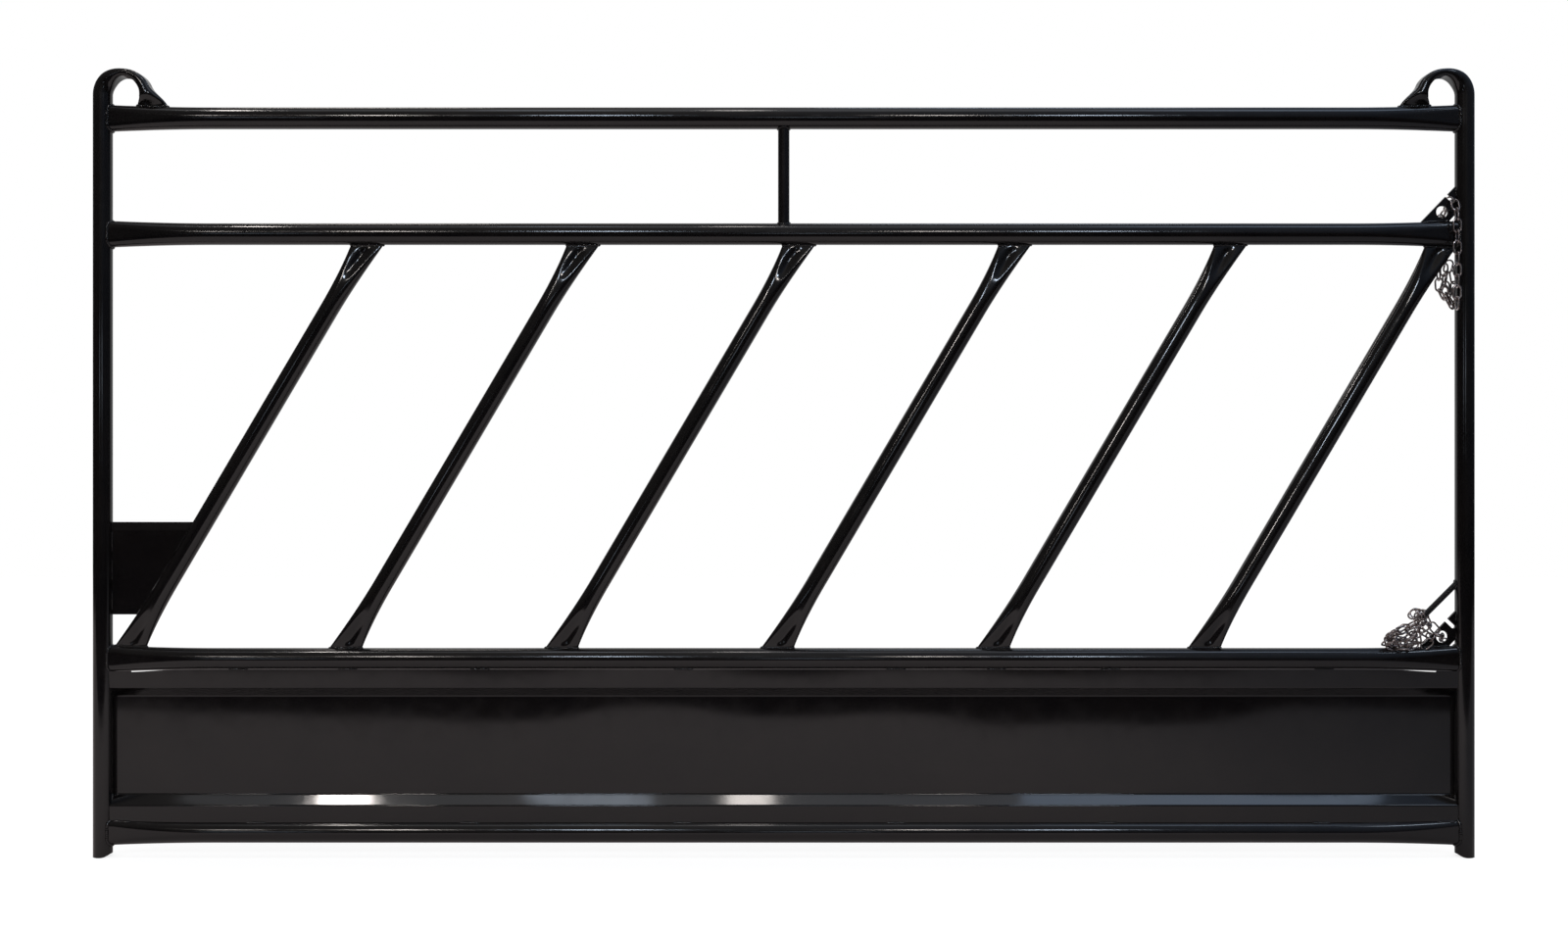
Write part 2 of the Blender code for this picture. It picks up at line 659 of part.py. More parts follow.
def make_upper_chain():
    """The chain kept in the upper plate's slot: a free tail in front and a long bight behind.

    The bight's other strand hangs from a link in the plate's hole."""
    slot_link, slot_width = plate_slot_seat(NECK_RAIL_Z)
    place_link("upper_slot_link", slot_link, Y_AXIS, slot_width)
    hang = Vector((HANG_ASIDE, HANG_OUT, 0))
    front_hang = Vector((HANG_ASIDE, -HANG_OUT, 0))
    lay_strand("tail_link", 1, slot_link + front_hang, hanging(TAIL_TILTS))
    rear_end = lay_strand("bight_link", 1, slot_link + hang, hanging(REAR_TILTS))

    hole_link = plate_hole(NECK_RAIL_Z) + Vector((HOLE_LINK_ASIDE, 0, -HOLE_LINK_DROP))
    hole_width = Vector((math.sin(HOLE_LINK_ROLL), 0, math.cos(HOLE_LINK_ROLL)))
    place_link("upper_hole_link", hole_link, Y_AXIS, hole_width)
    start = hole_link - hole_width * HOLE_HANG_BELOW + Vector((HOLE_HANG_ASIDE, HOLE_HANG_OUT, 0))
    lowest = len(REAR_TILTS) + 1
    fixed_end = lay_strand("bight_link", lowest + 1, start, hanging(FIXED_TILTS, FIXED_LEAN))
    join_strands(f"bight_link_{lowest:02d}", rear_end, fixed_end, Y_AXIS, BIGHT_DIP)


def make_lower_chain():
    """The chain heaped by the lower plate: it hangs over the peg and one end goes through the hole."""
    hole_link = plate_hole(MIDDLE_RAIL_Z) - Vector((0, 0, LOWER_HOLE_LINK_DROP))
    way, width = LOWER_HOLE_LINK
    place_link("lower_hole_link", hole_link, way, width)
    hold = way.normalized() * LOWER_HOLE_HOLD
    lay_strand("corner_link", 1, hole_link + hold, CORNER_STRAND)
    lay_strand("front_link", 1, hole_link - hold, FRONT_STRAND)

    peg = Vector((math.sin(PEG_LEAN), 0, math.cos(PEG_LEAN)))
    tip = Vector((CLEAR_X, 0, PEG_ROOT_Z)) - peg * PEG_LENGTH
    clear = (PEG_DIAMETER + LINK_WIRE) / 2 + LINK_GAP
    peg_link = tip + peg * PEG_LINK_FROM_TIP + peg.cross(Y_AXIS) * clear
    place_link("peg_link", peg_link, Y_AXIS, peg)
    hang = Vector((-HANG_ASIDE, HANG_OUT, 0))
    front_hang = Vector((-HANG_ASIDE, -HANG_OUT, 0))
    lay_strand("peg_front_link", 1, peg_link + front_hang, PEG_FRONT_STRAND)
    lay_strand("heap_link", 1, peg_link + hang, HEAP_STRAND, LOWER_CHAIN_SLACK)


clear_scene()
make_rail("bottom_rail", BOTTOM_RAIL_Z)
make_rail("middle_rail", MIDDLE_RAIL_Z)
make_rail("neck_rail", NECK_RAIL_Z)
make_rail("top_rail", TOP_RAIL_Z)
make_upright("left_upright", -1)
make_upright("right_upright", 1)
make_centre_spacer()
for bar_number in range(BAR_COUNT):
    make_bar(bar_number)
make_guard_plate()
make_kick_panel()
make_latch_plate("upper_latch_plate", NECK_RAIL_Z)
make_latch_plate("lower_latch_plate", MIDDLE_RAIL_Z)
make_chain_peg()
LINK_MESH = make_link_mesh()
make_upper_chain()
make_lower_chain()
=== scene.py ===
"""Looks of the slant-bar livestock feeder panel: smooth painted tube, pressed sheet, weld beads and zinc
chain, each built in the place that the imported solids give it.

The panel stands on the ground at z = 0. x runs along it with 0 half way, y = 0 is the plane of the tube
axes, and the front faces -y. Every length is in metres."""

import json
import math

import bmesh
import bpy
from mathutils import Matrix, Vector, noise

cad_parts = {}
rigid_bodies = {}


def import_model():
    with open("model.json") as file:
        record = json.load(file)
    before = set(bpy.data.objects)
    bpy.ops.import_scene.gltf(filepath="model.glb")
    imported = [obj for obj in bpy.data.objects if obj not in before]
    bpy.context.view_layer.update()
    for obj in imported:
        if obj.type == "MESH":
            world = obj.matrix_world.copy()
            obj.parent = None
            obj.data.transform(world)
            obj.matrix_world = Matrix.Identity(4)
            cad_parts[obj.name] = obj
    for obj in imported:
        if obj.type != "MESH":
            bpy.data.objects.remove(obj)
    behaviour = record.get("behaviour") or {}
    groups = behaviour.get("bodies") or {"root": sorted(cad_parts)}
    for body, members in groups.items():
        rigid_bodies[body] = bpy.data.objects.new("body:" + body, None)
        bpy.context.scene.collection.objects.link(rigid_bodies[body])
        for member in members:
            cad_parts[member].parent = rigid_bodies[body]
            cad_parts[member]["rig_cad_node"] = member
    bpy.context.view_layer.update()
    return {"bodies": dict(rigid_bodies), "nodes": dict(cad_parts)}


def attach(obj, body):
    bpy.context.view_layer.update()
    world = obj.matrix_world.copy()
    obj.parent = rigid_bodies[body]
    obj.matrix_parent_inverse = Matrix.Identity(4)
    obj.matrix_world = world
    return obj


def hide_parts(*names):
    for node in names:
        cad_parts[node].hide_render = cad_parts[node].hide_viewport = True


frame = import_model()

# Overall sizes of the frame
PANEL_LENGTH = 3.048
BOTTOM_RAIL_Z = 0.0540
MIDDLE_RAIL_Z = 0.4360
NECK_RAIL_Z = 1.3733
TOP_RAIL_Z = 1.6290

# Round tube
UPRIGHT_RADIUS = 0.0413 / 2
RAIL_RADIUS = 0.0476 / 2
BAR_RADIUS = 0.0413 / 2
SPACER_RADIUS = 0.0254 / 2
TUBE_WALL = 0.00165
TAB_SLIT = 0.0008
WELD_GAP = 0.0003
RAIL_PINCH_RISE = 0.0052
RAIL_PINCH_LENGTH = 0.230

# Hoop at the top of each upright
HOOP_CENTRE_RISE = 0.0504
HOOP_RADIUS = 0.0485
HOOP_BEND = math.radians(158)
HOOP_COLLAPSES = (math.radians(25), math.radians(95))
HOOP_COLLAPSED_HALF = 0.0080
HOOP_LEAVING_HALF = 0.0115
HOOP_DEPTH_HALF = 0.0222

# Foot of each upright, cut away in a curve on its inner side
FOOT_CUT_RISE = 0.0085
FOOT_CUT_SHARE = 0.60
FOOT_CUT_CURVE = 3

# Slanted feed bars
BAR_LEAN = math.radians(30.5)
BAR_COUNT = 6
FIRST_BAR_FOOT_IN = 0.0390
LAST_BAR_HEAD_IN = 0.0302
LAST_BAR_CLOSER = 0.0108
BAR_FLARE_LENGTH = 0.170
VALLEY_DEPTH = 0.72
VALLEY_RISE = (0.004, 0.016)
VALLEY_FALL = (0.020, 0.095)
VALLEY_SHARE = 0.36

# Guard plate
GUARD_THICKNESS = 0.003

# Pressed sheet
SHEET_THICKNESS = 0.0019
SHEET_FRONT_Y = -0.010
SHEET_RECESS = 0.022
SHEET_UPPER_FLANGE_DEPTH = 0.0625
SHEET_LOWER_FLANGE_DEPTH = 0.0600
SHEET_STEP_HEIGHT = 0.0205
SHEET_BEND_RADIUS = 0.0055
UPPER_FLANGE_LEAN = 0.0016
SEAM_OPENS_AT = 0.046
SEAM_EDGE = 0.0005
SEAM_OPENING = 0.0028
SEAM_LENGTH = 0.100

# Latch plates and peg
PLATE_LEG = 0.0762
PLATE_THICKNESS = 0.00635
PLATE_CORNER_CLIP = 0.014
PEG_RADIUS = 0.0127 / 2
PEG_LENGTH = 0.1066
PEG_CHAMFER = 0.0006
PEG_ROOT_Z = 0.5996
PEG_LEAN = math.radians(45)

# Chain links
LINK_WIRE = 0.0042
LINK_OUTER_LENGTH = 0.0334
LINK_OUTER_WIDTH = 0.0206
LINK_WELD_SWELL = 0.00015
LINK_WELD_REACH = 0.0016

# Further links beside those of the solids: each strand's name, body, the name of a link's solid and first
# turn in degrees, then the places in millimetres where one of its links hooks into the next
STRANDS = (
    ("heap_top_strand", "panel", "heap_link_01", 40,
     ((1412, -3, 530), (1394, -12, 512), (1372, -8, 502), (1350, -14, 498), (1332, -6, 484), (1340, 6, 463))),
    ("heap_front_strand", "panel", "heap_link_01", 20,
     ((1402, -16, 506), (1386, -22, 488), (1366, -20, 476), (1344, -23, 480), (1328, -16, 468),
      (1350, -14, 462), (1373, -19, 463), (1393, -14, 470))),
    ("heap_rear_strand", "panel", "heap_link_01", 65,
     ((1378, 12, 508), (1358, 14, 494), (1338, 15, 481), (1360, 18, 470), (1383, 16, 464), (1404, 12, 470),
      (1399, 9, 493))),
    ("heap_middle_strand", "panel", "heap_link_01", 75,
     ((1400, -2, 519), (1379, -1, 507), (1359, 1, 494), (1338, 1, 482), (1352, 3, 466), (1376, 2, 464),
      (1394, -1, 481), (1374, -4, 494), (1352, -5, 486))),
    ("corner_strand", "panel", "peg_link", 15,
     ((1424, -10, 514), (1440, -9, 496), (1426, -9, 477), (1408, -8, 462))),
    ("peg_wrap_strand", "panel", "peg_link", 30,
     ((1384, -8, 541), (1399, -18, 524), (1420, -12, 513), (1424, 8, 528), (1405, 16, 541), (1388, 10, 527))),
    ("plate_strand", "panel", "peg_link", 50,
     ((1428, 4, 512), (1409, 8, 497), (1430, 12, 486), (1437, 12, 470))),
    ("bight_fold_left", "chain_bight", "bight_link_01", 30,
     ((1484, 33, 1318), (1477, 32, 1294), (1473, 31, 1270), (1475, 32, 1246), (1486, 33, 1224),
      (1494, 34, 1246), (1493, 33, 1270), (1489, 34, 1294))),
    ("bight_fold_right", "chain_bight", "bight_link_01", 60,
     ((1470, 30, 1258), (1478, 29, 1235), (1490, 30, 1214), (1499, 31, 1236), (1497, 30, 1260))),
)

# Weld beads
BEAD_RADIUS = 0.0034
THIN_BEAD_RADIUS = 0.0026
FINE_BEAD_RADIUS = 0.0024
GUARD_BEAD_RADIUS = 0.0022
BEAD_STEP = 0.0011
BEAD_RIPPLE = 0.0042
BEAD_RIPPLE_HEIGHT = 0.22
BEAD_LOWEST = 0.90
BEAD_SWELLING = 0.30
BEAD_SWELLINGS_PER_METRE = 90
BEAD_WANDER = 0.22
BEAD_WANDERS_PER_METRE = 140
BEAD_WANDER_SEED = 7
BEAD_TIP = 0.35
BEAD_TIP_GROWTH = 0.5
BEAD_PROUD = 0.0008
PLATE_BEAD_FROM_TIP = 0.004
PLATE_BEAD_UPPER_LENGTH = 0.018
PLATE_BEAD_LOWER_LENGTH = 0.012
PLATE_BEAD_SUNK_X = 0.0006
PLATE_BEAD_SUNK_Z = 0.0004
STITCH_LENGTH = 0.042
LOWER_STITCHES = (-1.458, -1.162, -0.693, -0.224, 0.245, 0.714, 1.183, 1.458)
UPPER_STITCHES = (-1.201, -0.960, -0.669, -0.221, 0.247, 0.468, 0.720, 1.190)
GUARD_STITCHES = (0.565, 0.632, 0.695)

# How fine the smooth pieces are
TUBE_SIDES = 72
SHAPED_END_STEPS = 26
PEG_SIDES = 40
LINK_SIDES = 14
LINK_BEND_STEPS = 12
LINK_STRAIGHT_STEPS = 6
BEAD_SIDES = 10

# Floor, light and camera
FLOOR_COLOUR = (0.548, 0.492, 0.488)
FLOOR_DARK = (0.015, 0.015, 0.018)
FLOOR_PALE_TO = 2.00
FLOOR_DARK_FROM = 2.13
FLOOR_RIGHT_SHADE = (0.46, 0.50, 0.54)
FLOOR_SHADE_FROM = 0.5
FLOOR_SHADE_TO = 2.2
BACKDROP_GLOW = 0.7
SOFT_LIGHT = 0.88
ROOM_GLOW = 0.42
LAMP_HEIGHT = 4.0
WARM = (1.0, 0.93, 0.88)
COOL = (0.72, 0.84, 1.0)

# Lamps: name, place, size along x and y, brightness, colour, and the point faced by those not facing down
LAMPS = (
    ("left_lamp", (-2.0, -0.5, LAMP_HEIGHT), 0.17, 0.22, 52, WARM),
    ("middle_lamp", (-0.17, -0.5, LAMP_HEIGHT), 0.24, 0.24, 13, WARM),
    ("inner_lamp", (-0.87, -0.5, LAMP_HEIGHT), 0.55, 0.25, 2.6, COOL),
    ("right_lamp", (1.9, -0.5, LAMP_HEIGHT), 1.6, 0.6, 1.3, (0.5, 0.7, 1.0)),
    ("right_core_lamp", (1.62, -0.5, LAMP_HEIGHT), 0.34, 0.24, 6, COOL),
    ("far_right_lamp", (3.0, -1.6, LAMP_HEIGHT), 0.5, 0.5, 8, COOL),
    ("ceiling_box", (0.0, -0.4, LAMP_HEIGHT + 0.2), 5.6, 1.6, 0.45, (0.9, 0.93, 1.0)),
    ("front_window", (0.2, -8.0, 1.5), 0.9, 0.5, 2.5, COOL, (0.2, 0, 1.0)),
    ("front_row_1", (-3.7, -6.5, LAMP_HEIGHT), 0.30, 0.40, 24, WARM, (0, 0, 1)),
    ("front_row_2", (-2.6, -6.5, LAMP_HEIGHT), 0.50, 0.40, 44, WARM, (0, 0, 1)),
    ("front_row_3", (-1.2, -6.5, LAMP_HEIGHT), 0.75, 0.40, 36, COOL, (0, 0, 1)),
    ("front_row_4", (0.96, -6.5, LAMP_HEIGHT), 0.50, 0.40, 34, WARM, (0, 0, 1)),
    ("front_row_5", (1.90, -6.5, LAMP_HEIGHT), 0.75, 0.40, 34, COOL, (0, 0, 1)),
    ("rear_row_left", (-1.7, 1.8, LAMP_HEIGHT), 1.10, 0.30, 6, WARM),
    ("rear_row_right", (0.9, 1.8, LAMP_HEIGHT), 1.60, 0.30, 4, COOL),
    ("left_window", (-3.7, -8.0, 1.5), 0.9, 0.5, 2.5, COOL, (-0.5, 0, 1.0)),
)
CAMERA_PLACE = (0.0006, -3.65, 0.8615)
CAMERA_LENS = 37.95
CAMERA_SENSOR = 36

# Worked out from the sizes above
UPRIGHT_X = PANEL_LENGTH / 2 - UPRIGHT_RADIUS
CLEAR_X = UPRIGHT_X - UPRIGHT_RADIUS
BAR_MID_HEIGHT = (MIDDLE_RAIL_Z + NECK_RAIL_Z) / 2
BAR_RUN = (NECK_RAIL_Z - MIDDLE_RAIL_Z - 2 * RAIL_RADIUS) * math.tan(BAR_LEAN)
FIRST_BAR_X = FIRST_BAR_FOOT_IN + BAR_RUN / 2 - CLEAR_X
LAST_BAR_X = CLEAR_X - LAST_BAR_HEAD_IN - BAR_RUN / 2
BAR_PITCH = (LAST_BAR_X + LAST_BAR_CLOSER - FIRST_BAR_X) / (BAR_COUNT - 1)
X_AXIS = Vector((1, 0, 0))
Y_AXIS = Vector((0, 1, 0))
Z_AXIS = Vector((0, 0, 1))
BAR_DIRECTION = Vector((math.sin(BAR_LEAN), 0, math.cos(BAR_LEAN)))


def new_material(name):
    """A material with its Principled shader, and a function that adds nodes to it."""
    material = bpy.data.materials.new(name)
    material.use_nodes = True
    tree = material.node_tree
    shader = tree.nodes["Principled BSDF"]

    def add(kind, links=(), **values):
        node = tree.nodes.new(kind)
        for key, value in values.items():
            if key in node.bl_rna.properties:
                setattr(node, key, value)
            else:
                node.inputs[key].default_value = value
        for socket, source in links:
            tree.links.new(source, node.inputs[socket])
        return node

    return material, shader, add, tree.links.new


def ramp(add, source, stops):
    """A colour ramp fed by a source, with its stops given as (place, grey or colour)."""
    node = add("ShaderNodeValToRGB", [("Fac", source)])
    elements = node.color_ramp.elements
    while len(elements) < len(stops):
        elements.new(0.5)
    for element, (place, colour) in zip(elements, stops):
        element.position = place
        grey = (colour, colour, colour) if isinstance(colour, (int, float)) else colour
        element.color = (*grey, 1)
    return node.outputs["Color"]


def make_paint(name, wave=0.0):
    """Glossy near-black enamel: orange peel, faint dust, and long waves where it covers thin sheet."""
    material, shader, add, link = new_material(name)
    place = add("ShaderNodeTexCoord").outputs["Object"]
    clouds = add("ShaderNodeTexNoise", [("Vector", place)], Scale=9.0, Detail=5.0, Roughness=0.6)
    smears = add("ShaderNodeTexNoise", [("Vector", place)], Scale=26.0, Detail=1.0, Roughness=0.5)
    specks = add("ShaderNodeTexNoise", [("Vector", place)], Scale=1100.0, Detail=1.0)
    peel = add("ShaderNodeTexNoise", [("Vector", place)], Scale=420.0, Detail=2.0)
    sag = add("ShaderNodeTexNoise", [("Vector", place)], Scale=9.0 if wave else 38.0, Detail=2.0)

    tint = ramp(add, clouds.outputs["Fac"],
                [(0.35, (0.0026, 0.0022, 0.0024)), (0.68, (0.0044, 0.0036, 0.0035))])
    speck_share = ramp(add, specks.outputs["Fac"], [(0.66, 0.0), (0.78, 0.5)])
    colour = add("ShaderNodeMixRGB", [("Fac", speck_share), ("Color1", tint)],
                 Color2=(0.030, 0.027, 0.026, 1))
    link(colour.outputs["Color"], shader.inputs["Base Color"])

    dullness = 0.68 if wave else 1.0
    gloss = ramp(add, smears.outputs["Fac"],
                 [(0.30, 0.09 * dullness), (0.55, 0.11 * dullness), (0.80, 0.15 * dullness)])
    link(gloss, shader.inputs["Roughness"])
    shader.inputs["IOR"].default_value = 1.5

    fine = add("ShaderNodeBump", [("Height", peel.outputs["Fac"])], Strength=0.006, Distance=0.0004)
    broad = add("ShaderNodeBump", [("Height", sag.outputs["Fac"]), ("Normal", fine.outputs["Normal"])],
                Strength=0.02, Distance=0.002)
    normal = broad
    if wave:
        long_way = add("ShaderNodeMapping", [("Vector", place)])
        long_way.inputs["Scale"].default_value = (1.0, 1.0, 0.8)
        swell = add("ShaderNodeTexNoise", [("Vector", long_way.outputs["Vector"])], Scale=3.4, Detail=0.0)
        normal = add("ShaderNodeBump",
                     [("Height", swell.outputs["Fac"]), ("Normal", broad.outputs["Normal"])],
                     Strength=wave, Distance=0.02)
    link(normal.outputs["Normal"], shader.inputs["Normal"])
    return material


def make_zinc(name):
    """Dull zinc plate on the chain, with brown stains and brighter patches."""
    material, shader, add, link = new_material(name)
    place = add("ShaderNodeTexCoord").outputs["Object"]
    stains = add("ShaderNodeTexNoise", [("Vector", place)], Scale=130.0, Detail=4.0, Roughness=0.65)
    grain = add("ShaderNodeTexNoise", [("Vector", place)], Scale=1500.0, Detail=3.0)
    colour = ramp(add, stains.outputs["Fac"], [(0.32, (0.09, 0.065, 0.055)), (0.50, (0.30, 0.25, 0.235)),
                                               (0.66, (0.68, 0.62, 0.61))])
    link(colour, shader.inputs["Base Color"])
    shader.inputs["Metallic"].default_value = 1.0
    link(ramp(add, stains.outputs["Fac"], [(0.30, 0.42), (0.66, 0.17)]), shader.inputs["Roughness"])
    bump = add("ShaderNodeBump", [("Height", grain.outputs["Fac"])], Strength=0.25, Distance=0.0003)
    link(bump.outputs["Normal"], shader.inputs["Normal"])
    return material


PAINT = make_paint("black_enamel")
SHEET_PAINT = make_paint("black_enamel_on_sheet", wave=0.22)
ZINC = make_zinc("zinc_plate")


def make_piece(name, mesh, material, smooth_below=math.radians(40)):
    """Turns a bmesh into a shown piece that rides with the panel."""
    bmesh.ops.recalc_face_normals(mesh, faces=mesh.faces)
    data = bpy.data.meshes.new(name)
    mesh.to_mesh(data)
    mesh.free()
    data.shade_smooth()
    data.set_sharp_from_angle(angle=smooth_below)
    data.materials.append(material)
    piece = bpy.data.objects.new(name, data)
    bpy.context.collection.objects.link(piece)
    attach(piece, "panel")
    return piece


def stand_for(piece, node):
    """The piece is shown in place of the solid, which is hidden."""
    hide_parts(node)
    return piece


def add_ring(mesh, points):
    return [mesh.verts.new(point) for point in points]


def bridge(mesh, rings, closed=False):
    """Joins each ring of vertices to the next with quads."""
    followers = rings[1:] + rings[:1] if closed else rings[1:]
    for ring, following in zip(rings, followers):
        for i in range(len(ring)):
            j = (i + 1) % len(ring)
            mesh.faces.new((ring[i], ring[j], following[j], following[i]))


def squeezed_half(half, radius):
    """The other half width of a round tube squeezed or spread to `half`, with its girth unchanged."""
    girth = 2 * math.pi * radius
    if half >= radius:
        return (girth - 4 * half) / (2 * math.pi - 4)
    return (girth - (2 * math.pi - 4) * half) / 4


def tab_half(radius):
    """Half width of a tube's end hammered flat, with a fine slit left between its two walls."""
    thickness_half = TUBE_WALL + TAB_SLIT / 2
    return (2 * math.pi * radius - (2 * math.pi - 4) * thickness_half) / 4


def oval(half_a, half_b, sides):
    """Points round two half circles joined by straight lines, evenly spaced from the tip on the a side."""
    if half_b > half_a:
        turned = oval(half_b, half_a, sides)
        shift = sides // 4
        return [(turned[(i - shift) % sides][1] * -1, turned[(i - shift) % sides][0])
                for i in range(sides)]
    straight = half_a - half_b
    quarter = straight + math.pi / 2 * half_b
    points = []
    for i in range(sides):
        turns, part = divmod(4 * i / sides, 1)
        along = part * quarter if turns % 2 == 0 else (1 - part) * quarter
        arc = min(along, math.pi / 2 * half_b)
        angle = arc / half_b
        a = straight + half_b * math.cos(angle) - (along - arc)
        b = half_b * math.sin(angle)
        points.append((a if turns in (0, 3) else -a, b if turns in (0, 1) else -b))
    return points


def station(centre, direction, half, radius, level=0, pressed=0):
    """A place along a tube of a given radius, squeezed there to `half` in the plane of the panel.

    `pressed` is how far the middle of its front and back is pressed in, as a share of their depth."""
    return centre, direction, half, squeezed_half(half, radius), level, pressed


def tube_ring(centre, direction, half, depth_half, level, pressed, inset):
    """One ring of a tube, 2 * half wide in the plane of the panel, lying level where level is 1."""
    across = direction.cross(Y_AXIS).normalized()
    if level:
        across -= direction * (level * across.z / direction.z)
    outline = oval(half - inset, depth_half - inset, TUBE_SIDES)
    depths = [1 - pressed * math.exp(-(a / (VALLEY_SHARE * half)) ** 2) for a, _ in outline]
    return [centre + across * a + Y_AXIS * b * depth for (a, b), depth in zip(outline, depths)]


def make_tube(name, stations, fit_start=None, fit_end=None, limit=None):
    """A tube through the stations that station() describes. Returns its two end rings."""
    mesh = bmesh.new()
    walls = []
    ends = None
    for inset in (0.0, TUBE_WALL):
        rings = [tube_ring(*place, inset) for place in stations]
        if fit_start:
            rings[0] = [fit_start(point, -stations[0][1]) for point in rings[0]]
        if fit_end:
            rings[-1] = [fit_end(point, stations[-1][1]) for point in rings[-1]]
        if limit:
            rings = [[limit(point, inset) for point in ring] for ring in rings]
        ends = ends or (rings[0], rings[-1])
        walls.append([add_ring(mesh, ring) for ring in rings])
    outer, inner = walls
    bridge(mesh, outer)
    bridge(mesh, inner)
    bridge(mesh, [outer[0], inner[0]])
    bridge(mesh, [outer[-1], inner[-1]])
    stand_for(make_piece(name + "_tube", mesh, PAINT), name)
    return ends


def shaped_end(share):
    """How far a tube's end is shaped, from 1 at its tip to 0, at a share of the shaped length."""
    return (1 - min(max(share, 0), 1)) ** 2


def rail_half(x):
    """Half height of a rail at x, which grows towards its pinched ends."""
    return RAIL_RADIUS + RAIL_PINCH_RISE * shaped_end((CLEAR_X - abs(x)) / RAIL_PINCH_LENGTH)


def rail_surface(x, y):
    """Height of a rail's surface above its axis at x and y."""
    half = rail_half(x)
    depth = squeezed_half(half, RAIL_RADIUS)
    return half - depth + math.sqrt(max(depth ** 2 - y ** 2, 0))


def onto_upright(point, direction):
    """Moves a point along its tube until it meets the upright ahead."""
    axis_x = math.copysign(UPRIGHT_X, direction.x)
    x, y = point.x - axis_x, point.y
    a = direction.x ** 2 + direction.y ** 2
    b = x * direction.x + y * direction.y
    c = x ** 2 + y ** 2 - (UPRIGHT_RADIUS + WELD_GAP) ** 2
    return point + direction * ((-b - math.sqrt(max(b ** 2 - a * c, 0))) / a)


def onto_rail(rail_z, side):
    """A fit that moves a point along its tube to the top (side 1) or underside (side -1) of a rail."""
    def fit(point, direction):
        for _ in range(6):
            target = rail_z + side * (rail_surface(point.x, point.y) + WELD_GAP)
            point = point + direction * ((target - point.z) / direction.z)
        return point
    return fit


def ease(t):
    return t * t * (3 - 2 * t)


def rail_places():
    """Places along x where a rail's section is drawn, from its left end to its right end."""
    places = [RAIL_PINCH_LENGTH * step / SHAPED_END_STEPS - CLEAR_X for step in range(SHAPED_END_STEPS + 1)]
    return places + [-x for x in reversed(places)]


def make_rail(name, z):
    stations = [station(Vector((x, 0, z)), X_AXIS, rail_half(x), RAIL_RADIUS) for x in rail_places()]
    return make_tube(name, stations, onto_upright, onto_upright)


def between(value, low, high):
    """How far a value is from low to high, eased, and held at 0 and 1 outside them."""
    return ease(min(max((value - low) / (high - low), 0), 1))


def hoop_section(angle):
    """Half width and half depth of the tube part way round its hoop, where its inner wall caves in."""
    half = UPRIGHT_RADIUS + (HOOP_COLLAPSED_HALF - UPRIGHT_RADIUS) * between(angle, *HOOP_COLLAPSES)
    half += (HOOP_LEAVING_HALF - HOOP_COLLAPSED_HALF) * between(angle, HOOP_COLLAPSES[1], HOOP_BEND)
    return half, min(squeezed_half(half, UPRIGHT_RADIUS), HOOP_DEPTH_HALF)


def cut_foot(point, direction):
    """Lifts a point of an upright's foot onto the curved cut, which leaves the outer side on the ground."""
    across = (UPRIGHT_X + UPRIGHT_RADIUS - abs(point.x)) / (2 * UPRIGHT_RADIUS)
    share = max(across - (1 - FOOT_CUT_SHARE), 0) / FOOT_CUT_SHARE
    return point - direction * (FOOT_CUT_RISE * share ** FOOT_CUT_CURVE)


def make_upright(name, side):
    """An upright whose top is bent over in a hoop and hammered flat where it meets the top rail."""
    inward = Vector((-side, 0, 0))
    foot = Vector((side * UPRIGHT_X, 0, 0))
    centre = Vector((side * (UPRIGHT_X - HOOP_RADIUS), 0, TOP_RAIL_Z + HOOP_CENTRE_RISE))
    stations = [station(foot, Z_AXIS, UPRIGHT_RADIUS, UPRIGHT_RADIUS)]
    for step in range(2 * SHAPED_END_STEPS + 1):
        angle = HOOP_BEND * step / (2 * SHAPED_END_STEPS)
        place = centre - inward * HOOP_RADIUS * math.cos(angle) + Z_AXIS * HOOP_RADIUS * math.sin(angle)
        direction = inward * math.sin(angle) + Z_AXIS * math.cos(angle)
        stations.append((place, direction, *hoop_section(angle), 0, 0))
    leaving, direction = stations[-1][:2]
    reach = (leaving.z - TOP_RAIL_Z - RAIL_RADIUS) / -direction.z
    for step in range(1, SHAPED_END_STEPS // 2 + 1):
        t = step / (SHAPED_END_STEPS // 2)
        half = HOOP_LEAVING_HALF + (tab_half(UPRIGHT_RADIUS) - HOOP_LEAVING_HALF) * ease(t)
        depth_half = min(squeezed_half(half, UPRIGHT_RADIUS), HOOP_DEPTH_HALF)
        stations.append((leaving + direction * reach * t, direction, half, depth_half, t, 0))
    return make_tube(name, stations, cut_foot, onto_rail(TOP_RAIL_Z, 1))


def bar_axis(number, z):
    """Point at height z on the axis of a feed bar, numbered from 0 at the left."""
    x = FIRST_BAR_X + BAR_PITCH * number + (z - BAR_MID_HEIGHT) * math.tan(BAR_LEAN)
    if number == BAR_COUNT - 1:
        x -= LAST_BAR_CLOSER
    return Vector((x, 0, z))


def bar_half(from_end):
    """Half width of a feed bar at a distance along it from its end."""
    shaped = shaped_end(from_end / BAR_FLARE_LENGTH)
    return BAR_RADIUS + (tab_half(BAR_RADIUS) - BAR_RADIUS) * shaped


def valley(from_end):
    """How far a feed bar is pressed in along its middle, where its end was hammered flat."""
    return VALLEY_DEPTH * between(from_end, *VALLEY_RISE) * (1 - between(from_end, *VALLEY_FALL))


def clear_of_right_upright(point, inset):
    """Keeps a wall of the last bar's tab off the right upright."""
    return Vector((min(point.x, CLEAR_X - WELD_GAP - inset), point.y, point.z))


